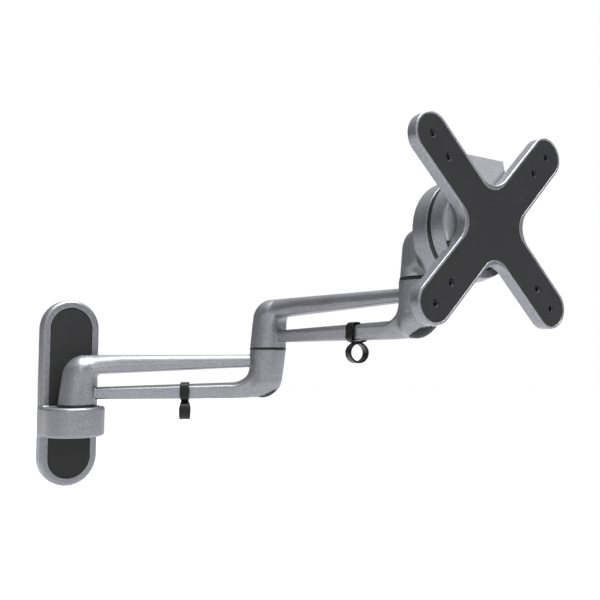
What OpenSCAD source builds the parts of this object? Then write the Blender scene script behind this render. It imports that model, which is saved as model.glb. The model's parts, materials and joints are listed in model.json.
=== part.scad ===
// Full motion wall mount for a small flat screen: wall plate, two cast arms that
// stack one above the other, a swivel knuckle, a roll drum and a tilting X plate.
// The wall is the plane y = 0 and the room is on the -Y side. The origin is the
// middle of the wall plate's back face.

/* [Pose] */
// Heading of the inner arm, away from straight out of the wall
inner_arm_heading = 58.3; // [-85:0.1:85]
// Heading of the outer arm
outer_arm_heading = 8.8; // [-60:0.1:120]
// Heading of the screen plate
head_heading = -4.7; // [-60:0.1:60]

/* [Wall plate] */
// Width of the wall plate
wall_w = 48; // [46:1:56]
// Height of the wall plate
wall_h = 155; // [150:1:170]
// Depth of the wall plate
wall_t = 10.6; // [10:0.2:12]
// Width of the silver border round the wall plate's covers
wall_border = 6.4; // [5:0.2:7]
// Height of the two wall screw holes above and below the middle
wall_hole_z = 55; // [50:1:58]
// Radius of a wall screw hole
wall_hole_r = 3.5; // [3:0.25:4]
// Height of the pivot block on the wall plate
hub_h = 24; // [22:1:28]

/* [Arms] */
// Distance from one pivot of an arm to the other
arm_l = 157; // [140:1:200]
// Height of an arm, from one thrust ring to the next
arm_pitch = 46.5; // [46:0.5:48]
// Radius of an arm's posts where they meet a thrust ring
post_r = 15.2; // [15:0.1:15.6]
// Distance of the first pivot from the wall
pivot_y = 26.4; // [26.4:0.2:30]
// Place of the cable clip along the inner arm
inner_clip_s = 88; // [60:1:98]
// Place of the cable clip along the outer arm
outer_clip_s = 98; // [60:1:98]

/* [Head] */
// Radius of the roll drum
drum_r = 34; // [32:0.5:35]
// Distance of the screen plate's face from the head pivot
face_x = 68.4; // [68:0.2:72]
// Height of the roll axis above the head pivot's thrust ring
roll_z = 27.2; // [26:0.2:30]

/* [Screen plate] */
// Spacing of the outer screw holes
vesa_outer = 100; // [100]
// Spacing of the inner screw holes
vesa_inner = 75; // [75]
// Radius of the screen screw holes
vesa_hole_r = 2.3; // [2.1:0.1:2.5]
// Half width of the plate's four arms
x_arm_r = 13.4; // [12.5:0.1:14]
// Depth of the screen plate
x_t = 8; // [8:0.2:9]

/* [Hidden] */
$fn = 64;

// Gaps: one for parts that are pressed together, one for parts that turn, one for faces
press_gap = 0.02;
run_gap = 0.06;
face_gap = 0.05;
eps = 0.01;

silver = "#96969d";
black = "#26262a";
steel = "#b8bac0";
nylon = "#1c1c1e";

// Wall plate
wall_r = wall_w / 2;
wall_bevel = 1.6;
cover_w = wall_w - 2 * wall_border;
cover_r = cover_w / 2;
cover_h = wall_h / 2 - wall_border;
cover_t = 2;
cover_sink = 0.4;
cover_gap = 0.15;
ledge = 1.6;
wall_floor = 3.8;
ring_t = 1.8;
ring_z = -10.4;
hub_top = ring_z - ring_t / 2;
hub_bottom = hub_top - hub_h;
hub_y = pivot_y - 4.2;
hub_bevel = 2.2;
cover_joint = 0.6;

// Pivots, measured from the thrust ring at the top of the lower post
ring_r = post_r + 0.1;
bolt_r = 4;
bolt_head_r = 6.5;
bolt_head_h = 5;
bush_r = 8;
bush_l = 17;
shoulder_t = 4.5;
access_r = 8.8;
insert_r = 6.5;
insert_l = 20;
spring_t = 2;
spring_r = 7.9;
hub_bush_l = 9.5;
hub_shoulder_t = 3.5;

// Arm castings, measured along the arm and up from the lower thrust ring
post_bottom = ring_t / 2;
rail_top = 41.5;
elbow_r = 18.5;
elbow_x = 8.2;
elbow_z = rail_top - elbow_r;
window_x = 17.8;
window_fillet = 4;
upper_root_t = 15.6;
lower_root_t = 13.7;
rail_tip_t = 9.7;
rail_root_w = 7.2;
rail_tip_w = 5;
taper_x = 36;
shoulder_r = 10;
cap_t = 2.6;
cap_gap = 0.1;

// Cable clips
hook_l = 7.6;
hook_wall = 1.3;
hook_w = 7;
hook_bottom = 4.9;
hook_top = 17.8;
hook_corner = 0.3;
hook_open = 5.3;
hoop_l = 8.6;
hoop_r = 7.9;
hoop_wall = 1.5;
hoop_z = -4;
outer_twist = -25;

// Head, measured forward from the head pivot and up from its thrust ring
knuckle_post_top = 18;
rear_x = 29.6;
rear_round = 1.5;
ring_back_x = 43.6;
ring_front_x = 46.9;
drum_front_x = 56.4;
drum_front_r = 32;
drum_edge = 0.8;
roll_bolt_r = 5;
roll_head_r = 8;
roll_head_h = 5;
roll_insert_back = 24;
roll_bush_r = 7.5;
web_t = 2.5;
web_top = 45;
web_top_w = 19;
web_w = 21.5;
web_shoulder = 33;
web_bottom = -10.5;
web_r = 31.5;
ear_t = 3;
ear_r = 4.1;
tilt_v = -16;
tilt_x = face_x - 7.8;
tilt_r = 2.5;
lug_r = 3.9;
lug_w = 17.3;
tilt_washer_t = 1;
screw_r = 2;
screw_head_r = 3.4;
screw_u = 12.5;
screw_v = [-5, 25];

// Screen plate
x_face_t = 3;
x_wall = 2.4;
x_tip = 49.8;
x_crotch = 25.3;
x_rim = 1.7;
x_cover_crotch = 21.9;
x_cover_t = 1;
x_cover_sink = 0.25;
x_cover_gap = 0.12;

// Places of the pivots
function heading(a) = [sin(a), -cos(a), 0];
wall_pivot = [0, -pivot_y, ring_z];
elbow_pivot = wall_pivot + arm_l * heading(inner_arm_heading) + [0, 0, arm_pitch];
head_pivot = elbow_pivot + arm_l * heading(outer_arm_heading) + [0, 0, arm_pitch];

// Frames: +X runs along the arm or out of the head, +Z is up
module on_wall_pivot() { translate(wall_pivot) children(); }
module on_inner_arm() { translate(wall_pivot) rotate([0, 0, inner_arm_heading - 90]) children(); }
module on_outer_arm() { translate(elbow_pivot) rotate([0, 0, outer_arm_heading - 90]) children(); }
module on_head() { translate(head_pivot) rotate([0, 0, head_heading - 90]) children(); }
module on_roll_axis(x) { translate([x, 0, roll_z]) rotate([0, 90, 0]) children(); }

// ---- Shared shapes ----

// Points of an arc, from one angle to the other
function arc(centre, r, from, to, steps = 12) = [
    for (i = [0:steps])
        let (a = from + (to - from) * i / steps) centre + r * [cos(a), sin(a)]];

// A ring or tube that stands on z
module tube(z, h, r_out, r_in) {
    translate([0, 0, z])
        difference() {
            cylinder(h = h, r = r_out);
            translate([0, 0, -1]) cylinder(h = h + 2, r = r_in);
        }
}

// A socket head screw whose head's underside is at z = 0 and whose shank points up
module cap_screw(shank_r, length, head_r, head_h, key_w) {
    difference() {
        union() {
            cylinder(h = length, r = shank_r);
            translate([0, 0, -head_h]) cylinder(h = head_h, r = head_r);
        }
        translate([0, 0, -head_h - 1]) cylinder(h = head_h * 0.55 + 1, r = key_w / 1.732, $fn = 6);
    }
}

// A plate with round ends and a bevelled front edge, standing on y = 0
module bevelled_stadium(r, half_h, t, bevel) {
    half = [[0, 0], [r, 0], [r, t - bevel], [r - bevel, t], [0, t]];
    for (side = [0, 1])
        mirror([side, 0, 0])
            translate([0, 0, r - half_h])
                linear_extrude(height = 2 * (half_h - r))
                    mirror([0, 1, 0]) polygon(half);
    for (end = [-1, 1])
        translate([0, 0, end * (half_h - r)])
            rotate([90, 0, 0])
                rotate_extrude() polygon(half);
}

// Outline of the black covers in the wall plate, grown by g and cut between two heights
module cover_outline(g, z_low, z_high) {
    intersection() {
        union() {
            square([2 * (cover_r + g), 2 * (cover_h - cover_r)], center = true);
            for (end = [-1, 1])
                translate([0, end * (cover_h - cover_r)]) circle(r = cover_r + g);
        }
        translate([-wall_w, z_low]) square([2 * wall_w, z_high - z_low]);
    }
}

// A slab of a wall plate outline, between two depths in front of the wall
module wall_slab(y_back, y_front) {
    translate([0, -y_back, 0])
        rotate([90, 0, 0])
            linear_extrude(height = y_front - y_back) children();
}

// ---- Wall plate ----

// The pivot block: as wide as the plate, with a round front and bevelled edges
module hub_block() {
    half = [[0, 0], [wall_r - hub_bevel, 0], [wall_r, hub_bevel], [wall_r, hub_h - hub_bevel],
        [wall_r - hub_bevel, hub_h], [0, hub_h]];
    difference() {
        translate([0, -hub_y, hub_bottom]) rotate_extrude() polygon(half);
        translate([-wall_w, -wall_floor, hub_bottom - 1]) cube([2 * wall_w, wall_w, hub_h + 2]);
    }
    for (side = [0, 1])
        mirror([side, 0, 0])
            translate([0, 0, hub_bottom])
                rotate([90, 0, 0])
                    linear_extrude(height = hub_y) polygon(half);
}

module wall_plate() color(silver) {
    difference() {
        union() {
            bevelled_stadium(wall_r, wall_h / 2, wall_t, wall_bevel);
            hub_block();
        }
        wall_slab(wall_t - cover_t - cover_sink, wall_t + 1)
            cover_outline(0, hub_top + cover_joint, wall_h);
        wall_slab(wall_t - cover_t - cover_sink, wall_t + 1)
            cover_outline(0, -wall_h, hub_bottom - cover_joint);
        wall_slab(wall_floor, wall_t) cover_outline(-ledge, hub_top + ledge, wall_h);
        wall_slab(wall_floor, wall_t) cover_outline(-ledge, -wall_h, hub_bottom - ledge);
        for (end = [-1, 1])
            translate([0, 1, end * wall_hole_z])
                rotate([90, 0, 0]) cylinder(h = wall_floor + 2, r = wall_hole_r);
        on_wall_pivot() {
            translate([0, 0, -ring_t / 2 - hub_bush_l]) cylinder(h = hub_bush_l + 1, r = bush_r + press_gap);
            translate([0, 0, -hub_h - 2]) cylinder(h = hub_h, r = bolt_r + 0.4);
            translate([0, 0, -hub_h - 2])
                cylinder(h = hub_h + 2 - ring_t / 2 - hub_bush_l - hub_shoulder_t, r = access_r);
        }
    }
}

module wall_cover(z_low, z_high)
    color(black)
        wall_slab(wall_t - cover_t - cover_sink, wall_t - cover_sink)
            cover_outline(-cover_gap, z_low, z_high);

module upper_cover() wall_cover(hub_top + cover_joint + cover_gap, wall_h);
module lower_cover() wall_cover(-wall_h, hub_bottom - cover_joint - cover_gap);

// ---- Pivot hardware; heights are measured from the thrust ring's middle ----

module pivot_ring() color(nylon) tube(-ring_t / 2, ring_t - face_gap, ring_r, bolt_r + run_gap);
module pivot_bush(l) color(nylon) tube(-ring_t / 2 - l, l, bush_r, bolt_r + run_gap);
module pivot_insert() color(steel) tube(ring_t / 2, insert_l, insert_r, bolt_r + press_gap);

// Spring washer under the bolt's head, and the bolt that goes up into the insert
module pivot_spring_washer(depth)
    color(steel) tube(-depth - spring_t, spring_t - face_gap, spring_r, bolt_r + press_gap);
module pivot_bolt(depth)
    color(steel)
        translate([0, 0, -depth - spring_t])
            cap_screw(bolt_r, depth + spring_t + insert_l, bolt_head_r, bolt_head_h, 6);

hub_seat = ring_t / 2 + hub_bush_l + hub_shoulder_t;
post_seat = ring_t / 2 + bush_l + shoulder_t;

module wall_pivot_bush() on_wall_pivot() pivot_bush(hub_bush_l);
module wall_pivot_ring() on_wall_pivot() pivot_ring();
module wall_spring_washer() on_wall_pivot() pivot_spring_washer(hub_seat);
module wall_pivot_bolt() on_wall_pivot() pivot_bolt(hub_seat);
module inner_arm_insert() on_wall_pivot() pivot_insert();

module elbow_bush() translate(elbow_pivot) pivot_bush(bush_l);
module elbow_ring() translate(elbow_pivot) pivot_ring();
module elbow_spring_washer() translate(elbow_pivot) pivot_spring_washer(post_seat);
module elbow_pivot_bolt() translate(elbow_pivot) pivot_bolt(post_seat);
module outer_arm_insert() translate(elbow_pivot) pivot_insert();

module head_bush() translate(head_pivot) pivot_bush(bush_l);
module head_ring() translate(head_pivot) pivot_ring();
module head_spring_washer() translate(head_pivot) pivot_spring_washer(post_seat);
module head_pivot_bolt() translate(head_pivot) pivot_bolt(post_seat);
module knuckle_insert() translate(head_pivot) pivot_insert();

// ---- Arm castings ----

// Angle on the elbow's arc where the post's leaning side runs into it
lean_d = [elbow_x + post_r, elbow_z - post_bottom];
lean_a = 90 + atan2(lean_d[1], lean_d[0]) + asin(elbow_r / norm(lean_d));

// Side view of one limb: a post, its elbow and the rail that runs to the other post
function limb_side(root_t) = concat(
    [[post_r, post_bottom], [-post_r, post_bottom]],
    arc([elbow_x, elbow_z], elbow_r, lean_a, 90),
    [[arm_l, rail_top], [arm_l, rail_top - rail_tip_t]],
    arc([window_x + window_fillet, rail_top - root_t - window_fillet], window_fillet, 90, 180, 4));

// Plan of one limb behind its round post, drawn in to a slim rail
limb_plan = [[3.5, post_r - 0.8], [taper_x / 2, rail_root_w + 3.2], [taper_x, rail_root_w],
    [arm_l, rail_tip_w], [arm_l, -rail_tip_w], [taper_x, -rail_root_w],
    [taper_x / 2, -rail_root_w - 3.2], [3.5, 0.8 - post_r]];

// End view of one limb, with round shoulders on top
limb_end = concat(
    [[-post_r - 1, 0], [post_r + 1, 0]],
    arc([post_r + 1 - shoulder_r, rail_top - shoulder_r], shoulder_r, 0, 90, 8),
    arc([shoulder_r - post_r - 1, rail_top - shoulder_r], shoulder_r, 90, 180, 8));

module limb(root_t) {
    intersection() {
        translate([0, post_r + 2, 0])
            rotate([90, 0, 0])
                linear_extrude(height = 2 * post_r + 4) polygon(limb_side(root_t));
        union() {
            cylinder(h = arm_pitch, r = post_r);
            linear_extrude(height = arm_pitch) polygon(limb_plan);
        }
        translate([-post_r - 1, 0, 0])
            rotate([90, 0, 90])
                linear_extrude(height = arm_l + post_r + 2) polygon(limb_end);
    }
}

// Turns the upper limb end over end to make the lower limb
module end_over() {
    translate([arm_l / 2, 0, arm_pitch / 2])
        rotate([0, 180, 0])
            translate([-arm_l / 2, 0, -arm_pitch / 2]) children();
}

module arm_casting() {
    difference() {
        union() {
            limb(upper_root_t);
            end_over() limb(lower_root_t);
        }
        cylinder(h = ring_t / 2 + insert_l + 5, r = bolt_r + 0.3);
        cylinder(h = ring_t / 2 + insert_l, r = insert_r + press_gap);
        translate([arm_l, 0, arm_pitch]) {
            translate([0, 0, -ring_t / 2 - bush_l]) cylinder(h = bush_l + 2, r = bush_r + press_gap);
            translate([0, 0, -arm_pitch]) cylinder(h = arm_pitch, r = bolt_r + 0.4);
            translate([0, 0, -arm_pitch - 1]) cylinder(h = arm_pitch + 1 - post_seat, r = access_r);
        }
    }
}

// Plug for the hole under the lower elbow, flush with the casting
module arm_cap_shape() {
    intersection() {
        translate([arm_l, 0, 0]) cylinder(h = arm_pitch / 2, r = access_r - cap_gap);
        difference() {
            end_over() limb(lower_root_t);
            translate([0, 0, cap_t]) end_over() limb(lower_root_t);
        }
    }
}

// Outline of the clip's hook, grown by g
function hook_outline(g) =
    let (r = hook_corner + g, w = hook_w - hook_corner,
        top = hook_top - hook_corner, bottom = hook_bottom + hook_corner)
    concat(arc([w, top], r, 0, 90, 5), arc([-w, top], r, 90, 180, 5),
        arc([-w, bottom], r, 180, 270, 5), arc([w, bottom], r, 270, 360, 5));

// A length of the hook's outline, centred on the clip
module hook_bar(g, l) {
    translate([-l / 2, 0, 0])
        rotate([90, 0, 90]) linear_extrude(height = l) polygon(hook_outline(g));
}

// A rod along the cable, centred on the clip's ring
module ring_bar(r, l, twist) {
    translate([0, 0, hoop_z])
        rotate([90, 0, 90 + twist]) cylinder(h = l, r = r, center = true);
}

// Clip: a hook that snaps round the lower rail, with a cable ring below it
module cable_clip_shape(place, twist) {
    translate([place, 0, 0]) difference() {
        union() {
            hook_bar(hook_wall, hook_l);
            ring_bar(hoop_r, hoop_l, twist);
        }
        hook_bar(0, 2 * hook_l);
        ring_bar(hoop_r - hoop_wall, 2 * hoop_l, twist);
        translate([-hook_l, 0, hook_top - hook_open])
            cube([2 * hook_l, 2 * hook_w, 2 * hook_open]);
    }
}

module inner_arm() color(silver) on_inner_arm() arm_casting();
module inner_arm_cap() color(black) on_inner_arm() arm_cap_shape();
module inner_arm_cable_clip() color(black) on_inner_arm() cable_clip_shape(inner_clip_s, 0);
module outer_arm() color(silver) on_outer_arm() arm_casting();
module outer_arm_cap() color(black) on_outer_arm() arm_cap_shape();
module outer_arm_cable_clip() color(black) on_outer_arm() cable_clip_shape(outer_clip_s, outer_twist);

// ---- Head ----

// The rear half of the drum, a solid of revolution with a round back edge
module rear_drum() {
    on_roll_axis(0)
        rotate_extrude() {
            translate([0, rear_x + rear_round])
                square([drum_r, ring_back_x - rear_x - rear_round]);
            translate([0, rear_x]) square([drum_r - rear_round, rear_round + eps]);
            intersection() {
                translate([drum_r - rear_round, rear_x + rear_round]) circle(r = rear_round);
                translate([0, rear_x]) square([drum_r, rear_round + eps]);
            }
        }
}

neck_start = [0, knuckle_post_top];
neck_end = [rear_x + 5, roll_z];
neck_r = 30;
neck_d = neck_end - neck_start;

module head_knuckle() color(silver) on_head() {
    difference() {
        union() {
            translate([0, 0, post_bottom]) cylinder(h = knuckle_post_top - post_bottom, r = post_r - 0.2);
            translate([0, 0, knuckle_post_top]) sphere(r = post_r - 0.2);
            translate([0, 0, knuckle_post_top])
                rotate([0, atan2(neck_d[0], neck_d[1]), 0])
                    cylinder(h = norm(neck_d), r1 = post_r - 0.6, r2 = neck_r);
            rear_drum();
        }
        translate([0, 0, post_bottom - 2 * post_r]) cylinder(h = 2 * post_r, r = post_r + 1.8);
        cylinder(h = ring_t / 2 + insert_l + 3, r = bolt_r + 0.3);
        cylinder(h = ring_t / 2 + insert_l, r = insert_r + press_gap);
        on_roll_axis(roll_insert_back) cylinder(h = 30, r = insert_r + press_gap);
        on_roll_axis(ring_back_x - 8)
            tube(0, 10, drum_r - 6, insert_r + 6);
    }
}

module roll_insert() color(steel) on_head() on_roll_axis(0)
    tube(roll_insert_back, ring_back_x - roll_insert_back, insert_r, roll_bolt_r + press_gap);

module roll_ring() color(nylon) on_head() on_roll_axis(0)
    tube(ring_back_x, ring_front_x - ring_back_x - face_gap, drum_r - 0.1, roll_bush_r + 2);

// The front half of the drum turns on the roll bush
module roll_drum() color(silver) on_head() {
    on_roll_axis(0)
        difference() {
            rotate_extrude()
                polygon([[roll_bush_r + press_gap, ring_front_x], [drum_r, ring_front_x],
                    [drum_front_r + drum_edge, drum_front_x - drum_edge],
                    [drum_front_r, drum_front_x], [roll_bush_r + press_gap, drum_front_x]]);
            tube(ring_front_x - 1, 6, drum_r - 5, roll_bush_r + 6);
            translate([0, 0, drum_front_x - roll_head_h - 1]) cylinder(h = 10, r = roll_head_r + 1.5);
            for (v = screw_v, u = [-1, 1])
                translate([-v, u * screw_u, ring_front_x - 1]) cylinder(h = 20, r = screw_r + press_gap);
        }
}

// Flanged bush between the roll bolt and the drum
module roll_bush() color(nylon) on_head() on_roll_axis(0)
    tube(ring_front_x, drum_front_x - roll_head_h - 1 - ring_front_x, roll_bush_r, roll_bolt_r + run_gap);

// Washer under the roll bolt's head
module roll_washer() color(steel) on_head() on_roll_axis(0)
    tube(drum_front_x - roll_head_h - 1 + face_gap, 1 - face_gap, roll_head_r + 1, roll_bolt_r + press_gap);

module roll_bolt() color(steel) on_head() on_roll_axis(drum_front_x - roll_head_h)
    rotate([180, 0, 0])
        cap_screw(roll_bolt_r, drum_front_x - roll_head_h - roll_insert_back - 1, roll_head_r,
            roll_head_h - 0.3, 8);

// Outline of the bracket: a disc with a flat foot and a tab on top
web_foot_a = asin(web_bottom / web_r);
web_side_a = acos(web_w / web_r);
function web_outline() = concat(
    arc([0, 0], web_r, web_foot_a, web_side_a),
    [[web_w, web_shoulder], [web_top_w, web_top], [-web_top_w, web_top], [-web_w, web_shoulder]],
    arc([0, 0], web_r, 180 - web_side_a, 180 - web_foot_a));

// Steel bracket on the drum's face; its ears carry the tilt bolt
module tilt_bracket() color(silver) on_head() {
    translate([drum_front_x, 0, roll_z])
        rotate([90, 0, 90])
            linear_extrude(height = web_t)
                difference() {
                    polygon(web_outline());
                    circle(r = roll_head_r + 1.5);
                    for (v = screw_v, u = [-1, 1])
                        translate([u * screw_u, v]) circle(r = screw_r + 0.2);
                }
    for (side = [-1, 1])
        translate([0, side * (web_w - ear_t / 2) + ear_t / 2, roll_z])
            rotate([90, 0, 0])
                linear_extrude(height = ear_t)
                    difference() {
                        union() {
                            polygon([[drum_front_x, tilt_v - ear_r], [tilt_x, tilt_v - ear_r],
                                [tilt_x + ear_r, tilt_v], [drum_front_x + web_t, web_bottom + 5],
                                [drum_front_x, web_bottom + 5]]);
                            translate([tilt_x, tilt_v]) circle(r = ear_r);
                        }
                        translate([tilt_x, tilt_v]) circle(r = tilt_r + press_gap);
                    }
}

// Four low-head screws that hold the bracket to the drum
module bracket_screws() color(steel) on_head()
    for (v = screw_v, u = [-1, 1])
        translate([drum_front_x + web_t, u * screw_u, roll_z + v])
            rotate([0, -90, 0])
                cap_screw(screw_r, web_t + 6, screw_head_r, 1.2, 2.5);

module tilt_bolt() color(steel) on_head()
    translate([tilt_x, -web_w, roll_z + tilt_v])
        rotate([-90, 0, 0])
            cap_screw(tilt_r, 2 * web_w + 3.2, 4, 2.6, 4);

module tilt_nut() color(steel) on_head()
    translate([tilt_x, web_w, roll_z + tilt_v])
        rotate([-90, 0, 0])
            difference() {
                cylinder(h = 3, r = 4, $fn = 6);
                translate([0, 0, -1]) cylinder(h = 5, r = tilt_r + press_gap);
            }

module tilt_washers() color(nylon) on_head()
    for (side = [-1, 1])
        translate([tilt_x, side * (lug_w + face_gap + tilt_washer_t / 2), roll_z + tilt_v])
            rotate([90, 0, 0])
                translate([0, 0, -tilt_washer_t / 2 + face_gap / 2])
                    tube(0, tilt_washer_t - face_gap, lug_r, tilt_r + press_gap);

// ---- Screen plate ----

// X outline: four round-ended arms of half width r, with round crotches at distance c
function x_outline(r, c) =
    let (fillet = (c - r * sqrt(2)) / (sqrt(2) - 1))
    [for (turn = [0:90:270])
        each concat(
            arc(x_tip * sqrt(2) * [cos(turn + 45), sin(turn + 45)], r, turn - 45, turn + 135, 16),
            arc((c + fillet) * [cos(turn + 90), sin(turn + 90)], fillet, turn + 315, turn + 225, 10))];

module vesa_holes(r, h)
    for (pitch = [vesa_outer, vesa_inner], u = [-1, 1], v = [-1, 1])
        translate([u * pitch / 2, v * pitch / 2, -1]) cylinder(h = h + 2, r = r);

// Frame of the plate: the drawing plane faces out of the plate, with its back at z = 0
module on_plate(depth) { translate([face_x - depth, 0, roll_z]) rotate([90, 0, 90]) children(); }

module screen_plate() color(silver) on_head() {
    difference() {
        union() {
            difference() {
                on_plate(x_t) linear_extrude(height = x_t) polygon(x_outline(x_arm_r, x_crotch));
                on_plate(x_t + 1)
                    linear_extrude(height = x_t - x_face_t + 1)
                        polygon(x_outline(x_arm_r - x_wall, x_crotch - x_wall));
            }
            translate([0, lug_w, roll_z])
                rotate([90, 0, 0])
                    linear_extrude(height = 2 * lug_w) {
                        translate([tilt_x, tilt_v]) circle(r = lug_r);
                        translate([tilt_x, tilt_v - lug_r])
                            square([face_x - x_face_t - tilt_x + eps, 2 * lug_r]);
                    }
        }
        on_plate(x_cover_t + x_cover_sink)
            linear_extrude(height = x_t) polygon(x_outline(x_arm_r - x_rim, x_cover_crotch));
        on_plate(x_t) vesa_holes(vesa_hole_r, x_t);
        translate([tilt_x, web_w, roll_z + tilt_v])
            rotate([90, 0, 0]) cylinder(h = 2 * web_w, r = tilt_r + run_gap);
    }
}

module screen_plate_cover() color(black) on_head()
    difference() {
        on_plate(x_cover_t + x_cover_sink)
            linear_extrude(height = x_cover_t)
                polygon(x_outline(x_arm_r - x_rim - x_cover_gap, x_cover_crotch - x_cover_gap));
        on_plate(x_t) vesa_holes(vesa_hole_r, x_t);
    }

wall_plate();
upper_cover();
lower_cover();
wall_pivot_bush();
wall_pivot_ring();
wall_pivot_bolt();
wall_spring_washer();
inner_arm();
inner_arm_insert();
inner_arm_cap();
inner_arm_cable_clip();
elbow_bush();
elbow_ring();
elbow_pivot_bolt();
elbow_spring_washer();
outer_arm();
outer_arm_insert();
outer_arm_cap();
outer_arm_cable_clip();
head_bush();
head_ring();
head_pivot_bolt();
head_spring_washer();
head_knuckle();
knuckle_insert();
roll_insert();
roll_ring();
roll_drum();
roll_bush();
roll_bolt();
roll_washer();
tilt_bracket();
bracket_screws();
tilt_bolt();
tilt_nut();
tilt_washers();
screen_plate();
screen_plate_cover();
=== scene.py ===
"""Full motion wall mount for a small screen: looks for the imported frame.

The castings are signed distance fields turned into meshes: each is written in
its own frame in millimetres, so its fillets and blends are part of its shape.
"""
import json
import math

import bpy
import numpy as np
from mathutils import Matrix, Vector


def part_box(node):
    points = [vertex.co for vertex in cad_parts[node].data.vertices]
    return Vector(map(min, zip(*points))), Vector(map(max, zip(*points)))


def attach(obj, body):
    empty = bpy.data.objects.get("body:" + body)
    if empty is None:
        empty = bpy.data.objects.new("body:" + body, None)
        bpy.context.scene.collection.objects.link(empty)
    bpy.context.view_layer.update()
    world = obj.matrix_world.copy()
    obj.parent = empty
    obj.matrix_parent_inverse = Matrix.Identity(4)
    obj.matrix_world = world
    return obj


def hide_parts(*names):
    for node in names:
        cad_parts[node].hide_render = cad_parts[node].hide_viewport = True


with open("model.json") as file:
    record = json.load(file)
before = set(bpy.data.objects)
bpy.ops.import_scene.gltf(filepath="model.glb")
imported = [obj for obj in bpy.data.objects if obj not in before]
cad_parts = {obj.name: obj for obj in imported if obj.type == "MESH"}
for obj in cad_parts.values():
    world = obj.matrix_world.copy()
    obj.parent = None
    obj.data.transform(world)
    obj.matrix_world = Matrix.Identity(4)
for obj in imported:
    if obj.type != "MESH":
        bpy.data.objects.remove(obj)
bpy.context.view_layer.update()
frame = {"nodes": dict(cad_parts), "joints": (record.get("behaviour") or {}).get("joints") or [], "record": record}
MM = 0.001

# ---------------------------------------------------------------- frames
JOINTS = {j["name"]: j for j in frame["joints"]}


def joint_place(name):
    return np.array(JOINTS[name]["pos_m"]) / MM


def local_frame(origin, forward):
    """Origin and axes of a frame: X forward, Y to its left, Z up, in mm."""
    x = np.array([forward[0], forward[1], 0.0])
    x = x / np.linalg.norm(x)
    z = np.array([0.0, 0.0, 1.0])
    return np.array(origin, float), np.stack([x, np.cross(z, x), z])


PIVOT_WALL = joint_place("wall_swivel")
PIVOT_ELBOW = joint_place("elbow_swivel")
PIVOT_HEAD = joint_place("head_swivel")
HEAD_FORWARD = np.array(JOINTS["screen_roll"]["axis"])
PLATE_CENTRE = joint_place("screen_roll")
TILT_PLACE = joint_place("screen_tilt")
ARM_L = float(np.linalg.norm((PIVOT_ELBOW - PIVOT_WALL)[:2]))
PITCH = float(PIVOT_ELBOW[2] - PIVOT_WALL[2])

WALL = local_frame((0, 0, 0), (0, -1, 0))
INNER = local_frame(PIVOT_WALL, PIVOT_ELBOW - PIVOT_WALL)
OUTER = local_frame(PIVOT_ELBOW, PIVOT_HEAD - PIVOT_ELBOW)
HEAD = local_frame(PIVOT_HEAD, HEAD_FORWARD)
ROLL_Z = float(PLATE_CENTRE[2] - PIVOT_HEAD[2])
FACE_X = float((PLATE_CENTRE - PIVOT_HEAD) @ HEAD[1][0])
TILT_X = float((TILT_PLACE - PIVOT_HEAD) @ HEAD[1][0])
TILT_V = float(TILT_PLACE[2] - PLATE_CENTRE[2])


# ---------------------------------------------------------------- distance fields
def smin(a, b, k):
    h = np.clip(0.5 + 0.5 * (b - a) / k, 0, 1)
    return b * (1 - h) + a * h - k * h * (1 - h)


def smax(a, b, k):
    return -smin(-a, -b, k)


def round_and(a, b, r):
    """Intersection whose edge is rounded with radius r."""
    return np.minimum(-r, np.maximum(a, b)) + np.hypot(np.maximum(a + r, 0), np.maximum(b + r, 0))


def round_or(a, b, r):
    """Union whose crease is filled with a fillet of radius r."""
    return np.maximum(r, np.minimum(a, b)) - np.hypot(np.maximum(r - a, 0), np.maximum(r - b, 0))


def cut(a, b, r):
    return round_and(a, -b, r)


def slab(x, low, high):
    return np.maximum(low - x, x - high)


CORNERS = [(i, j, k) for i in (0, 1) for j in (0, 1) for k in (0, 1)]
EDGES = [(a, b) for a in range(8) for b in range(a + 1, 8)
         if sum(abs(m - n) for m, n in zip(CORNERS[a], CORNERS[b])) == 1]


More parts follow.
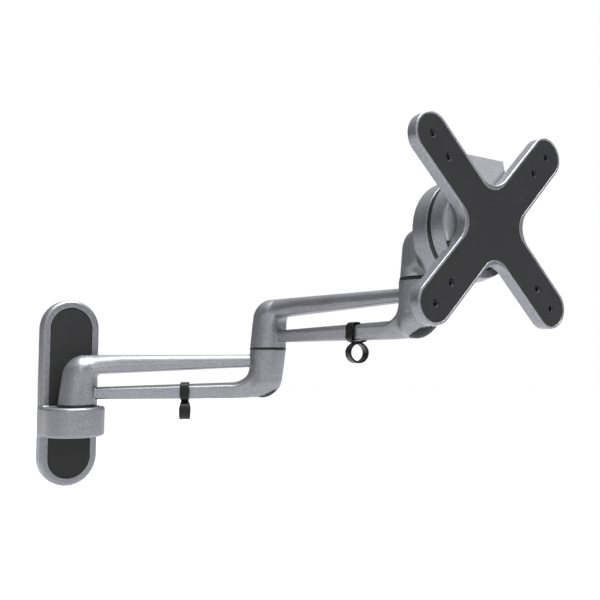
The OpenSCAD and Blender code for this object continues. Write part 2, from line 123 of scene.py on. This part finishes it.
def surface_net(field, low, high, step):
    """Vertices and quads of the zero surface of a field, on a grid of that step."""
    low = np.array(low, float) - 2.5 * step
    axes = [np.arange(low[i], high[i] + 3.5 * step, step) for i in range(3)]
    grid = np.meshgrid(*axes, indexing="ij")
    d = field(*[g.ravel() for g in grid]).reshape(grid[0].shape)
    shut = np.full(d.shape, step)
    shut[1:-1, 1:-1, 1:-1] = d[1:-1, 1:-1, 1:-1]
    d = shut
    inside = d < 0
    shape = np.array(d.shape) - 1
    count = sum(inside[i:i + shape[0], j:j + shape[1], k:k + shape[2]].astype(int)
                for i, j, k in CORNERS)
    mixed = (count > 0) & (count < 8)
    cells = np.argwhere(mixed)
    index = np.full(mixed.shape, -1)
    index[mixed] = np.arange(len(cells))
    total, hits = np.zeros((len(cells), 3)), np.zeros(len(cells))
    for a, b in EDGES:
        ca, cb = np.array(CORNERS[a]), np.array(CORNERS[b])
        da, db = d[tuple((cells + ca).T)], d[tuple((cells + cb).T)]
        crossing = (da < 0) != (db < 0)
        t = np.where(crossing, da / np.where(crossing, da - db, 1), 0)
        total += np.where(crossing[:, None], ca + t[:, None] * (cb - ca), 0)
        hits += crossing
    verts = low + (cells + total / hits[:, None]) * step
    quads = []
    for axis in range(3):
        one = np.eye(3, dtype=int)[axis]
        u, v = np.eye(3, dtype=int)[(axis + 1) % 3], np.eye(3, dtype=int)[(axis + 2) % 3]
        a = inside[tuple(slice(0, n - o) for n, o in zip(inside.shape, one))]
        b = inside[tuple(slice(o, None) for o in one)]
        places = np.argwhere(a != b)
        ok = (places[:, (axis + 1) % 3] > 0) & (places[:, (axis + 2) % 3] > 0)
        places = places[ok]
        ring = np.stack([index[tuple((places - du * u - dv * v).T)]
                         for du, dv in ((1, 1), (0, 1), (0, 0), (1, 0))], 1)
        flip = ~a[tuple(places.T)]
        ring[flip] = ring[flip][:, ::-1]
        quads.append(ring)
    return verts, np.concatenate(quads)


def gradient(field, p, h=0.02):
    g = np.stack([field(*(p + h * e).T) - field(*(p - h * e).T) for e in np.eye(3)], 1)
    return g / (2 * h)


def settle(field, p, rounds=3):
    """Moves points onto the zero surface and returns them with their normals."""
    for _ in range(rounds):
        d = field(*p.T)
        g = gradient(field, p)
        n2 = np.maximum((g * g).sum(1), 0.05)
        p = p - np.clip(d / n2, -0.6, 0.6)[:, None] * g
    g = gradient(field, p)
    return p, g / np.maximum(np.linalg.norm(g, axis=1), 1e-6)[:, None]


def new_mesh(name, verts, faces, normals=None):
    mesh = bpy.data.meshes.new(name)
    mesh.from_pydata(verts, [], faces)
    mesh.validate()
    mesh.polygons.foreach_set("use_smooth", [True] * len(mesh.polygons))
    if normals is not None:
        mesh.normals_split_custom_set_from_vertices(normals)
    obj = bpy.data.objects.new(name, mesh)
    bpy.context.scene.collection.objects.link(obj)
    return obj


def field_piece(name, body, nodes, material, place, field, low, high, step):
    """A piece made from a distance field in a local frame, standing for CAD nodes."""
    verts, faces = surface_net(field, low, high, step)
    verts, normals = settle(field, verts)
    verts = np.clip(verts, low, high)
    origin, axes = place
    obj = new_mesh(name, ((verts @ axes + origin) * MM).tolist(), faces.tolist(),
                   (normals @ axes).tolist())
    obj.data.materials.append(material)
    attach(obj, body)
    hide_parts(*nodes)
    return obj


# ---------------------------------------------------------------- materials
BLACK = (0, 0, 0, 1)
WHITE = (1, 1, 1, 1)


def material(name):
    mat = bpy.data.materials.new(name)
    mat.use_nodes = True
    tree = mat.node_tree
    shader = next(n for n in tree.nodes if n.type == "BSDF_PRINCIPLED")
    return mat, tree, shader


def mm_coordinates(tree):
    """Object coordinates in millimetres."""
    place = tree.nodes.new("ShaderNodeTexCoord")
    scale = tree.nodes.new("ShaderNodeMapping")
    scale.inputs["Scale"].default_value = (1 / MM, 1 / MM, 1 / MM)
    tree.links.new(place.outputs["Object"], scale.inputs["Vector"])
    return scale.outputs["Vector"]


def noise(tree, coords, scale, detail=2.0, roughness=0.5):
    n = tree.nodes.new("ShaderNodeTexNoise")
    n.inputs["Scale"].default_value = scale
    n.inputs["Detail"].default_value = detail
    n.inputs["Roughness"].default_value = roughness
    tree.links.new(coords, n.inputs["Vector"])
    return n.outputs["Fac"]


def ramp(tree, fac, stops):
    r = tree.nodes.new("ShaderNodeValToRGB")
    r.color_ramp.elements[0].position = stops[0][0]
    r.color_ramp.elements[0].color = stops[0][1]
    r.color_ramp.elements[1].position = stops[-1][0]
    r.color_ramp.elements[1].color = stops[-1][1]
    for position, colour in stops[1:-1]:
        r.color_ramp.elements.new(position).color = colour
    tree.links.new(fac, r.inputs["Fac"])
    return r.outputs["Color"]


def to_range(tree, fac, low, high, from_low=0.3, from_high=0.7):
    r = tree.nodes.new("ShaderNodeMapRange")
    r.inputs["From Min"].default_value = from_low
    r.inputs["From Max"].default_value = from_high
    r.inputs["To Min"].default_value = low
    r.inputs["To Max"].default_value = high
    tree.links.new(fac, r.inputs["Value"])
    return r.outputs["Result"]


def bump(tree, height, strength, distance, before=None):
    b = tree.nodes.new("ShaderNodeBump")
    b.inputs["Strength"].default_value = strength
    b.inputs["Distance"].default_value = distance
    tree.links.new(height, b.inputs["Height"])
    if before is not None:
        tree.links.new(before, b.inputs["Normal"])
    return b.outputs["Normal"]


def shade_hollows(tree, reach):
    """Painted shade: lower inside holes and crevices than in the open, from ambient occlusion."""
    ao = tree.nodes.new("ShaderNodeAmbientOcclusion")
    ao.inputs["Distance"].default_value = reach * MM
    ao.samples = 8
    return to_range(tree, ao.outputs["AO"], 0.12, 1.0, 0.26, 0.65)


def mix(tree, kind, a, b, fac):
    m = tree.nodes.new("ShaderNodeMix")
    m.data_type = "RGBA"
    m.blend_type = kind
    for socket, value in ((m.inputs["Factor"], fac), (m.inputs[6], a), (m.inputs[7], b)):
        if isinstance(value, (int, float, tuple)):
            socket.default_value = value
        else:
            tree.links.new(value, socket)
    return m.outputs[2]


def edge_highlight_mask(tree):
    """1 along convex edges, from the geometry's pointiness, for a painted edge highlight."""
    g = tree.nodes.new("ShaderNodeNewGeometry")
    return to_range(tree, g.outputs["Pointiness"], 0.0, 1.0, 0.53, 0.62)


def silver_paint(name, shade=1.0, metallic=0.75, painted_hollow_shade=True):
    """Fine-grained silver paint, a little lighter on edges with painted highlight and darker in holes with painted
    shade.
    """
    mat, tree, shader = material(name)
    xyz = mm_coordinates(tree)
    fine = noise(tree, xyz, 1.25, 3.0, 0.7)
    broad = noise(tree, xyz, 0.045, 3.0)
    dark = (0.15 * shade, 0.151 * shade, 0.162 * shade, 1)
    light = (0.32 * shade, 0.323 * shade, 0.342 * shade, 1)
    base = ramp(tree, fine, [(0.32, dark), (0.68, light)])
    patches = ramp(tree, broad, [(0.3, (0.95, 0.95, 0.96, 1)), (0.7, WHITE)])
    base = mix(tree, "MULTIPLY", base, patches, 1.0)
    # Painted highlight: lighter paint along convex edges.
    edge_highlight = to_range(tree, edge_highlight_mask(tree), 0.0, 0.35, 0.0, 1.0)
    base = mix(tree, "MIX", base, (0.5, 0.505, 0.52, 1), edge_highlight)
    # Painted shade: darker paint in holes and crevices, from ambient occlusion.
    if painted_hollow_shade:
        hollow_shade_ramp = ramp(tree, shade_hollows(tree, 7.0), [(0.0, BLACK), (1.0, WHITE)])
        base = mix(tree, "MULTIPLY", base, hollow_shade_ramp, 1.0)
    tree.links.new(base, shader.inputs["Base Color"])
    shader.inputs["Metallic"].default_value = metallic
    tree.links.new(to_range(tree, fine, 0.36, 0.46), shader.inputs["Roughness"])
    grain = bump(tree, fine, 0.16, 0.06 * MM)
    skin = bump(tree, noise(tree, xyz, 0.5), 0.06, 0.2 * MM, grain)
    tree.links.new(skin, shader.inputs["Normal"])
    return mat


def black_plastic(name, tone, rough, grain_scale, grain):
    """Dull black plastic with a fine cast grain."""
    mat, tree, shader = material(name)
    xyz = mm_coordinates(tree)
    fine = noise(tree, xyz, grain_scale, 2.0, 0.6)
    broad = noise(tree, xyz, 0.06, 3.0)
    a = (tone * 0.82, tone * 0.82, tone * 0.85, 1)
    b = (tone * 1.18, tone * 1.18, tone * 1.22, 1)
    base = ramp(tree, fine, [(0.3, a), (0.7, b)])
    # Painted highlight: lighter plastic along convex edges.
    edge_highlight = to_range(tree, edge_highlight_mask(tree), 0.0, 0.3, 0.0, 1.0)
    base = mix(tree, "MIX", base, (tone * 2.2, tone * 2.2, tone * 2.3, 1), edge_highlight)
    tree.links.new(base, shader.inputs["Base Color"])
    tree.links.new(to_range(tree, broad, rough - 0.04, rough + 0.05), shader.inputs["Roughness"])
    shader.inputs["Specular IOR Level"].default_value = 0.25
    tree.links.new(bump(tree, fine, grain, 0.08 * MM), shader.inputs["Normal"])
    return mat


def plain_steel(name, tone=0.6, rough=0.3):
    """Bright turned or zinc-plated steel for the fasteners."""
    mat, tree, shader = material(name)
    xyz = mm_coordinates(tree)
    fine = noise(tree, xyz, 1.4, 4.0, 0.6)
    base = ramp(tree, fine, [(0.3, (tone * 0.85, tone * 0.85, tone * 0.86, 1)),
                             (0.7, (tone, tone, tone * 1.02, 1))])
    tree.links.new(base, shader.inputs["Base Color"])
    shader.inputs["Metallic"].default_value = 1.0
    tree.links.new(to_range(tree, fine, rough - 0.06, rough + 0.08), shader.inputs["Roughness"])
    tree.links.new(bump(tree, fine, 0.12, 0.05 * MM), shader.inputs["Normal"])
    return mat


SILVER = silver_paint("silver_paint")
# Painted light: the sheet is lighter and less metallic than the castings so that its face, which lies in the
# plate's shadow, looks lit; it gets no painted shade.
SHEET_WITH_PAINTED_LIGHT = silver_paint("silver_sheet", 1.35, 0.35, False)
COVER = black_plastic("cover_plastic", 0.017, 0.5, 1.3, 0.5)
PLUG = black_plastic("plug_plastic", 0.009, 0.55, 1.3, 0.3)
CLIP = black_plastic("clip_plastic", 0.004, 0.42, 2.0, 0.12)
NYLON = black_plastic("nylon", 0.012, 0.4, 2.0, 0.1)
STEEL = plain_steel("zinc_steel")
DARK_STEEL = plain_steel("turned_steel", 0.5, 0.36)

# ---------------------------------------------------------------- wall plate
box_low, box_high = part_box("wall_plate")
PLATE_H = (box_high.z - box_low.z) / MM
PLATE_R = (box_high.x - box_low.x) / MM / 2
PLATE_T = 10.6
PLATE_CHAMFER = 1.7
BORDER = 6.4
RECESS = 2.6
RECESS_GAP = 0.6
COVER_GAP = 0.75
COVER_FIT = 0.15
FAR = 200
WALL_SCREW_R, WALL_SCREW_Z = 3.5, 55.0
RING_T = 1.8
RING_R = 15.3
HUB_TOP = PIVOT_WALL[2] - RING_T / 2
HUB_H = 24.0
HUB_BOTTOM = HUB_TOP - HUB_H
HUB_Y = -PIVOT_WALL[1] - 4.2
HUB_BUSH_L, HUB_SEAT = 9.5, 13.0
BUSH_R = 8.02


def stadium(x, z, r, half_h):
    """Distance to an upright strip with round ends."""
    return np.hypot(x, np.maximum(np.abs(z) - (half_h - r), 0)) - r


def cover_field(x, z, grow, z_low, z_high):
    """Outline of a cover, grown all round, between two heights."""
    return np.maximum(stadium(x, z, PLATE_R - BORDER + grow, PLATE_H / 2 - BORDER + grow),
                      slab(z, z_low, z_high))


def wall_plate_field(t, x, z):
    """Plate with its pivot block; t is the distance from the wall."""
    edge = stadium(x, z, PLATE_R, PLATE_H / 2)
    body = round_and(np.maximum(edge, -t), t - PLATE_T, 0.4)
    body = smax(body, (edge + t - PLATE_T + PLATE_CHAMFER) * 0.7071, 0.6)
    hub = np.minimum(np.hypot(x, t - HUB_Y) - PLATE_R,
                     np.maximum(np.abs(x) - PLATE_R, np.maximum(t - HUB_Y, -t)))
    hub = round_and(hub, np.abs(z - (HUB_TOP - HUB_H / 2)) - HUB_H / 2, 2.4)
    hub = np.maximum(hub, -t)
    body = np.maximum(round_or(body, hub, 1.6), -t)
    for z_low, z_high in ((HUB_TOP + RECESS_GAP, FAR), (-FAR, HUB_BOTTOM - RECESS_GAP)):
        recess = np.maximum(cover_field(x, z, 0, z_low, z_high), PLATE_T - RECESS - t)
        body = cut(body, recess, 0.3)
    for end in (-1, 1):
        body = np.maximum(body, WALL_SCREW_R - np.hypot(x, z - end * WALL_SCREW_Z))
    bore = np.hypot(x, t + PIVOT_WALL[1])
    body = cut(body, np.maximum(bore - 8.3, z - (HUB_TOP - HUB_SEAT)), 0.5)
    return cut(body, np.maximum(bore - BUSH_R, HUB_TOP - HUB_BUSH_L - z), 0.3)


def cover_piece(name, z_low, z_high):
    def field(t, x, z):
        d = cover_field(x, z, -COVER_FIT, z_low, z_high)
        return round_and(d, np.abs(t - (PLATE_T - 1.4)) - 1.0, 0.35)
    field_piece(name + "_skin", "wall", [name], COVER, WALL, field,
                (PLATE_T - 3, -PLATE_R, max(z_low, -PLATE_H / 2)),
                (PLATE_T, PLATE_R, min(z_high, PLATE_H / 2)), 0.7)


field_piece("wall_plate_casting", "wall", ["wall_plate"], SILVER, WALL,
            wall_plate_field, (0, -PLATE_R, -PLATE_H / 2),
            (HUB_Y + PLATE_R, PLATE_R, PLATE_H / 2), 0.7)
cover_piece("upper_cover", HUB_TOP + COVER_GAP, FAR)
cover_piece("lower_cover", -FAR, HUB_BOTTOM - COVER_GAP)

# ---------------------------------------------------------------- arms
POST_R = 15.2
POST_LEAN, POST_TAPER = 0.08, 0.045
RAIL_TOP = 41.5
RAIL_TIP_T = 9.7
ELBOW_R = 18.5
ELBOW_W = 14.0
ELBOW = (6.3, RAIL_TOP - ELBOW_R)
ROOT_S = 22
# Half the rail's width at places along the arm
WIDTH_AT = ([0, 4, 8, 12.5, 18, 27, 36, ARM_L], [14.0, 13.7, 12.4, 9.8, 9.0, 8.2, 7.2, 5.0])
ACCESS_R = 8.8
INSERT_R, INSERT_TOP = 6.52, 20.9
BUSH_L, BOLT_SEAT = 17.9, 22.2

# root: rail's depth at the post; roof: slope of its inner face; soft: radius of its
# outer edges along the arm; stepped: a fine line below those edges
UPPER = {"root": 15.6, "fillet": 6.5, "roof": 0.2, "edge": 1.4, "stepped": True,
         "soft": ([6, 18, 36, 60, ARM_L], [13.9, 10.0, 6.6, 6.0, 4.7])}
LOWER = {"root": 13.7, "fillet": 17.0, "roof": 0.36, "edge": 2.0, "stepped": False,
         "soft": ([6, 18, 36, 60, ARM_L], [13.9, 9.5, 4.5, 2.4, 2.0])}


def rail_flank(side, z, depth, width, under, stepped):
    """Distance to the sides of a rail, which lean in towards its inner face."""
    if not stepped:
        return side - width + 0.17 * np.maximum(z - under, 0)
    step = np.clip((depth - width + 0.6) / 2.0, 0, 1)
    step = 0.35 * step * step * (3 - 2 * step)
    return side - width - step + 0.16 * np.maximum(depth - width - 1.4, 0)


def limb(s, y, z, form):
    """Tapering post, pipe-like elbow and slim rail of one half of an arm."""
    side = np.abs(y)
    low = RING_T / 2
    h = np.maximum(z - low, 0)
    post_r = POST_R - 0.1 - POST_TAPER * h
    post = np.hypot(s - POST_LEAN * h, y) - post_r
    turn = np.hypot(np.minimum(s - ELBOW[0], 0), np.maximum(z - ELBOW[1], 0))
    pipe = np.hypot(np.maximum(turn - (ELBOW_R - ELBOW_W), 0), y) - ELBOW_W
    under = RAIL_TOP - np.interp(s, [ROOT_S, ARM_L], [form["root"], RAIL_TIP_T])
    depth = RAIL_TOP - z
    flank = rail_flank(side, z, depth, np.interp(s, *WIDTH_AT), under, form["stepped"])
    roof = form["roof"]
    floor = (under + roof * np.maximum(side - 0.8, 0) - z) / math.hypot(1, roof)
    inner = np.maximum(s - POST_LEAN * h - post_r + 3.2, 4.0 - s)
    fillet = np.interp(s, [4, 11], [0.4, form["fillet"]])
    rail = round_and(flank * 0.985, round_or(inner, floor, fillet), form["edge"])
    d = smin(post, rail, np.interp(s, [2, 10], [0.3, 3.0]))
    d = round_and(d, -depth, np.interp(s, *form["soft"]))
    d = smax(d, pipe - 4 * np.clip((ELBOW[1] - z) / 5, 0, 1), 0.5)
    return round_and(np.maximum(d, s - ARM_L), low - z, 0.5)


def arm_solid(s, y, z):
    """An arm is its upper limb and the same idea turned end over end."""
    return smin(limb(s, y, z, UPPER), limb(ARM_L - s, y, PITCH - z, LOWER), 0.8)


def arm_field(s, y, z):
    """The arm with its plug hole, bush bore and insert bore."""
    d = arm_solid(s, y, z)
    far, near = np.hypot(s - ARM_L, y), np.hypot(s, y)
    d = cut(d, np.maximum(far - ACCESS_R, z - (PITCH - BOLT_SEAT)), 0.35)
    d = cut(d, np.maximum(far - BUSH_R, PITCH - BUSH_L - z), 0.2)
    return cut(d, np.maximum(near - INSERT_R, z - INSERT_TOP), 0.2)


def cap_field(s, y, z):
    """Plug that follows the arm's skin over the hole."""
    solid = arm_solid(s, y, z)
    rim = np.hypot(s - ARM_L, y) - (ACCESS_R - 0.12)
    shell = round_and(round_and(solid + 0.25, rim, 0.4), -(solid + 2.6), 0.3)
    return np.maximum(shell, z - 20)


ARM_LOW, ARM_HIGH = (-POST_R, -POST_R, 0.9), (ARM_L + POST_R, POST_R, PITCH - 0.9)
for side, place, body in (("inner", INNER, "lower_arm"), ("outer", OUTER, "upper_arm")):
    field_piece(side + "_arm_casting", body, [side + "_arm"], SILVER, place,
                arm_field, ARM_LOW, ARM_HIGH, 0.8)
    field_piece(side + "_arm_plug", body, [side + "_arm_cap"], PLUG, place,
                cap_field, (ARM_L - 9, -9, 4), (ARM_L + 9, 9, 21), 0.5)


# ---------------------------------------------------------------- thrust rings
def ring_piece(name, body, origin):
    def field(x, y, z):
        wall = np.abs(np.hypot(x, y) - (RING_R + 4.1) / 2) - (RING_R - 4.1) / 2
        return round_and(wall, np.abs(z) - (RING_T - 0.06) / 2, 0.4)
    field_piece(name + "_washer", body, [name], NYLON,
                local_frame(origin, (1, 0, 0)), field,
                (-RING_R, -RING_R, -1), (RING_R, RING_R, 1), 0.45)


ring_piece("wall_pivot_ring", "wall", PIVOT_WALL)
ring_piece("elbow_ring", "lower_arm", PIVOT_ELBOW)
ring_piece("head_ring", "upper_arm", PIVOT_HEAD)


# ---------------------------------------------------------------- cable clips
HOOK_W, HOOK_MIDDLE, HOOK_HALF_H, HOOK_CORNER = 7.0, 11.22, 6.33, 3.2
HOOP_Z, HOOP_R = -4.0, 7.15


def clip_field(place, twist):
    """Hook over the near side of the lower rail, a waist, and a cable ring under it."""
    def field(s, y, z):
        turn = np.radians(np.interp(z, [-2, 4, 12], [twist, twist * 0.75, twist * 0.25]))
        a = (s - place) * np.cos(turn) + y * np.sin(turn)
        b = y * np.cos(turn) - (s - place) * np.sin(turn)
        q1 = np.abs(b) - (HOOK_W - HOOK_CORNER)
        q2 = np.abs(z - HOOK_MIDDLE) - (HOOK_HALF_H - HOOK_CORNER)
        outside = np.hypot(np.maximum(q1, 0), np.maximum(q2, 0))
        inner = outside + np.minimum(np.maximum(q1, q2), 0) - HOOK_CORNER
        hook = np.abs(inner - 0.65) - 0.65
        hook = cut(hook, np.maximum(0.6 - b, 12.2 - z), 0.5)
        radial = np.hypot(b, z - HOOP_Z)
        hoop = np.abs(radial - HOOP_R) - 0.75
        profile = np.maximum(smin(hook, hoop, 0.9), HOOP_R - 0.75 - radial)
        half = np.interp(z, [-11, -2, 3.8, 8, 18], [4.3, 4.3, 3.0, 3.8, 3.6])
        return round_and(profile, np.abs(a) - half, 0.45)
    return field


for side, place, body, at, twist in (("inner", INNER, "lower_arm", 88.0, 0),
                                     ("outer", OUTER, "upper_arm", 98.0, -25)):
    field_piece(side + "_cable_clip", body, [side + "_arm_cable_clip"], CLIP, place,
                clip_field(at, twist), (at - 8, -9.5, -12), (at + 8, 9.5, 18.9), 0.4)

# ---------------------------------------------------------------- head
DRUM_R = 34.0
REAR_X, RING_BACK, RING_FRONT, DRUM_FRONT = 29.6, 43.6, 46.9, 56.4
RING_MIDDLE = (RING_BACK + RING_FRONT) / 2
FRONT_MIDDLE, FRONT_T = (RING_FRONT + DRUM_FRONT) / 2, DRUM_FRONT - RING_FRONT
KNUCKLE_TOP = 34.0
OUT_OF_REACH = 100


def knuckle_field(x, y, z):
    """Leaning post, wedge-shaped neck and the rear half of the drum, blended."""
    v = z - ROLL_Z
    radial = np.hypot(y, v)
    h = np.maximum(z, 0)
    post = np.hypot(x - 0.11 * h, y) - (14.9 - 0.02 * h)
    post = round_and(post, z - KNUCKLE_TOP + 0.35 * (x + 8), 11.0)
    post = np.maximum(post, x - 40)
    wedge = np.abs(y) - (12.5 + 0.6 * np.maximum(x, 0))
    wedge = round_and(wedge * 0.86, np.abs(z - 18.0) - 16.5, 9.0)
    wedge = np.maximum(wedge, np.maximum(-x, x - 40))
    drum = round_and(radial - DRUM_R, REAR_X - x, 1.5)
    d = smin(smin(post, wedge, 6.0), drum, 4.0)
    d = cut(d, np.maximum(np.hypot(x, y) - (POST_R + 1.8), z - RING_T / 2), 0.4)
    d = round_and(d, x - RING_BACK, 0.5)
    d = round_and(d, RING_T / 2 - z - OUT_OF_REACH * (x > 20), 0.5)
    d = np.maximum(d, radial - DRUM_R - OUT_OF_REACH * (x < REAR_X))
    d = cut(d, np.maximum(radial - INSERT_R, 24.0 - x), 0.3)
    bored = z < INSERT_TOP
    return np.maximum(d, (INSERT_R - np.hypot(x, y)) * bored - OUT_OF_REACH * ~bored)


field_piece("head_knuckle_casting", "head", ["head_knuckle"], SILVER, HEAD,
            knuckle_field, (-15, -DRUM_R, ROLL_Z - DRUM_R),
            (RING_BACK, DRUM_R, ROLL_Z + DRUM_R), 0.8)


def roll_ring_field(x, y, z):
    radial = np.hypot(y, z - ROLL_Z)
    wall = np.abs(radial - (DRUM_R - 0.1 + 9.5) / 2) - (DRUM_R - 0.1 - 9.5) / 2
    return round_and(wall, np.abs(x - RING_MIDDLE) - 1.62, 0.4)


field_piece("roll_ring_washer", "head", ["roll_ring"], NYLON, HEAD,
            roll_ring_field, (RING_BACK, -DRUM_R, ROLL_Z - DRUM_R),
            (RING_FRONT, DRUM_R, ROLL_Z + DRUM_R), 0.6)


def roll_drum_field(x, y, z):
    """Tapered front half of the drum with a shallow dish in its face."""
    radial = np.hypot(y, z - ROLL_Z)
    d = round_and(radial - (DRUM_R - 2.0 * (x - RING_FRONT) / FRONT_T),
                  np.abs(x - FRONT_MIDDLE) - FRONT_T / 2, 0.7)
    dish = np.maximum(radial - 26.5, DRUM_FRONT - 0.5 - x)
    d = cut(d, dish, 0.4)
    d = cut(d, np.maximum(radial - 9.5, DRUM_FRONT - 6 - x), 0.3)
    return np.maximum(d, 7.52 - radial)


field_piece("roll_drum_casting", "drum", ["roll_drum"], SILVER, HEAD,
            roll_drum_field, (RING_FRONT, -DRUM_R, ROLL_Z - DRUM_R),
            (DRUM_FRONT, DRUM_R, ROLL_Z + DRUM_R), 0.7)

# ---------------------------------------------------------------- screen plate
X_T, X_TIP = 8.0, 49.8
X_R, X_CROTCH = 13.4, 25.3
RIM_R, RIM_CROTCH = 11.7, 21.9
WALL_T, FLOOR_T = 2.4, 3.0
HOLE_R, BOSS_R = 2.3, 4.4
LUG_R, LUG_W, TILT_HOLE_R = 3.9, 17.3, 2.56
HOLES = [(su * p / 2, sv * p / 2) for p in (100, 75) for su in (-1, 1) for sv in (-1, 1)]


def x_distance(u, v, r, crotch):
    """Distance to the X outline: four round-ended arms with filleted crotches."""
    a, b = np.abs(u), np.abs(v)
    along, across = (a + b) * 0.70711, np.abs(a - b) * 0.70711
    tip = X_TIP * math.sqrt(2)
    arm = np.where(along > tip, np.hypot(along - tip, across), across) - r
    fillet = (crotch - r * math.sqrt(2)) / (math.sqrt(2) - 1)
    big, small = np.maximum(a, b), np.minimum(a, b)
    centre = crotch + fillet
    tangent = centre / math.sqrt(2)
    near = (big + small) / math.sqrt(2) < tangent
    notch = fillet - np.hypot(big - centre, small)
    return np.where(near, np.maximum(notch, -30), arm)


def hole_distance(u, v):
    """Distance from the axis of the nearest screen hole."""
    return np.min([np.hypot(u - p, v - q) for p, q in HOLES], axis=0)


def screen_plate_field(x, y, z):
    """Hollow-backed X plate with a sunk face, screen holes and the tilt lug."""
    u, v = -y, z - ROLL_Z
    d = x_distance(u, v, X_R, X_CROTCH)
    d = round_and(d, np.abs(x - (FACE_X - X_T / 2)) - X_T / 2, 0.9)
    inset = x_distance(u, v, RIM_R, RIM_CROTCH)
    d = cut(d, np.maximum(inset, FACE_X - 1.25 - x), 0.3)
    hollow = x_distance(u, v, X_R - WALL_T, X_CROTCH - WALL_T)
    hole = hole_distance(u, v)
    back = np.maximum(np.maximum(hollow, x - (FACE_X - FLOOR_T)), BOSS_R - hole)
    tilt = np.hypot(x - TILT_X, v - TILT_V)
    lug_side = np.minimum(tilt - LUG_R, np.maximum(np.abs(v - TILT_V) - LUG_R, TILT_X - x))
    lug_bar = np.maximum(lug_side, np.abs(u) - LUG_W)
    d = cut(d, np.maximum(back, -lug_bar), 0.4)
    d = smin(d, np.maximum(lug_bar, x - (FACE_X - 2.5)), 0.5)
    d = cut(d, hole - HOLE_R, 0.3)
    return np.maximum(d, TILT_HOLE_R - tilt)


def plate_cover_field(x, y, z):
    """Thin black X that fills the plate's sunk face."""
    u, v = -y, z - ROLL_Z
    d = x_distance(u, v, RIM_R - 0.12, RIM_CROTCH - 0.12)
    d = round_and(d, np.abs(x - (FACE_X - 0.75)) - 0.5, 0.3)
    return cut(d, hole_distance(u, v) - HOLE_R, 0.35)


HALF = X_TIP + X_R
field_piece("screen_plate_casting", "screen", ["screen_plate"], SILVER, HEAD,
            screen_plate_field, (TILT_X - 4, -HALF, ROLL_Z - HALF),
            (FACE_X, HALF, ROLL_Z + HALF), 0.7)
field_piece("screen_plate_skin", "screen", ["screen_plate_cover"], COVER, HEAD,
            plate_cover_field, (FACE_X - 2, -HALF, ROLL_Z - HALF),
            (FACE_X, HALF, ROLL_Z + HALF), 0.6)

# ---------------------------------------------------------------- carried-over CAD nodes
FINISH = {"black_nylon": NYLON, "insert_steel": DARK_STEEL, "bolt_steel": STEEL,
          "screw_steel": STEEL, "silver_sheet": SHEET_WITH_PAINTED_LIGHT}
for part in frame["record"]["subparts"]:
    finish = FINISH.get(part["material_slot"])
    if finish is not None:
        data = frame["nodes"][part["node"]].data
        data.materials.clear()
        data.materials.append(finish)

# ---------------------------------------------------------------- stage
FLOOR_Z = -0.32
FLOOR_HALF = 6
floor = new_mesh("floor", [(x * FLOOR_HALF, y * FLOOR_HALF, FLOOR_Z)
                           for x, y in ((-1, -1), (1, -1), (1, 1), (-1, 1))], [(0, 1, 2, 3)])
floor_mat, floor_tree, floor_shader = material("floor_paint")
floor_shader.inputs["Base Color"].default_value = (0.55, 0.55, 0.555, 1)
floor_shader.inputs["Roughness"].default_value = 0.9
floor_shader.inputs["Specular IOR Level"].default_value = 0.0
floor.data.materials.append(floor_mat)


def studio_world():
    """White behind the object; around it a dim room, brighter overhead and on one side."""
    world = bpy.data.worlds.new("studio")
    world.use_nodes = True
    tree = world.node_tree
    back = tree.nodes["Background"]
    place = tree.nodes.new("ShaderNodeTexCoord")
    split = tree.nodes.new("ShaderNodeSeparateXYZ")
    tree.links.new(place.outputs["Generated"], split.inputs[0])
    height = to_range(tree, split.outputs["Z"], 0.0, 1.0, 0.0, 1.0)
    sky = ramp(tree, height, [(0.0, (0.16, 0.16, 0.17, 1)), (0.3, (0.20, 0.20, 0.215, 1)),
                              (0.6, (0.42, 0.42, 0.45, 1)), (0.85, (0.9, 0.9, 0.95, 1))])
    side = to_range(tree, split.outputs["X"], 0.55, 1.25, -0.95, 0.6)
    room = tree.nodes.new("ShaderNodeVectorMath")
    room.operation = "SCALE"
    tree.links.new(sky, room.inputs[0])
    tree.links.new(side, room.inputs["Scale"])
    path = tree.nodes.new("ShaderNodeLightPath")
    seen = mix(tree, "MIX", room.outputs[0], WHITE, path.outputs["Is Camera Ray"])
    tree.links.new(seen, back.inputs["Color"])
    back.inputs["Strength"].default_value = 1.0
    return world


bpy.context.scene.world = studio_world()


def aim(obj, place, target):
    obj.location = Vector(place)
    obj.rotation_mode = "QUATERNION"
    obj.rotation_quaternion = (Vector(target) - Vector(place)).to_track_quat("-Z", "Y")
    bpy.context.scene.collection.objects.link(obj)


def area_light(name, place, size, power):
    data = bpy.data.lights.new(name, "AREA")
    data.shape = "RECTANGLE"
    data.size, data.size_y = size
    data.energy = power
    aim(bpy.data.objects.new(name, data), place, CENTRE)


def sun_light(name, place, spread, strength):
    data = bpy.data.lights.new(name, "SUN")
    data.angle = math.radians(spread)
    data.energy = strength
    aim(bpy.data.objects.new(name, data), place, CENTRE)


CENTRE = (0.09, -0.17, 0.04)
sun_light("overhead", (0.2, -0.45, 1.2), 52, 7.4)
area_light("front_left", (-0.6, -0.95, 0.45), (0.6, 0.5), 2.2)

# ---------------------------------------------------------------- camera
CAM_PLACE = (-0.2031, -0.608, 0.0278)
YAW, TILT, ROLL = math.radians(36.59), math.radians(4.72), math.radians(-0.12)
forward = Vector((math.sin(YAW) * math.cos(TILT), math.cos(YAW) * math.cos(TILT),
                  math.sin(TILT)))
cam_data = bpy.data.cameras.new("camera")
cam_data.sensor_width = 36.0
cam_data.lens = 42.576
cam_data.clip_start, cam_data.clip_end = 0.01, 50
camera = bpy.data.objects.new("camera", cam_data)
camera.rotation_mode = "QUATERNION"
turned = forward.to_track_quat("-Z", "Y").to_matrix() @ Matrix.Rotation(ROLL, 3, "Z")
camera.rotation_quaternion = turned.to_quaternion()
camera.location = CAM_PLACE
bpy.context.scene.collection.objects.link(camera)
bpy.context.scene.camera = camera
bpy.context.scene.view_settings.view_transform = "Standard"
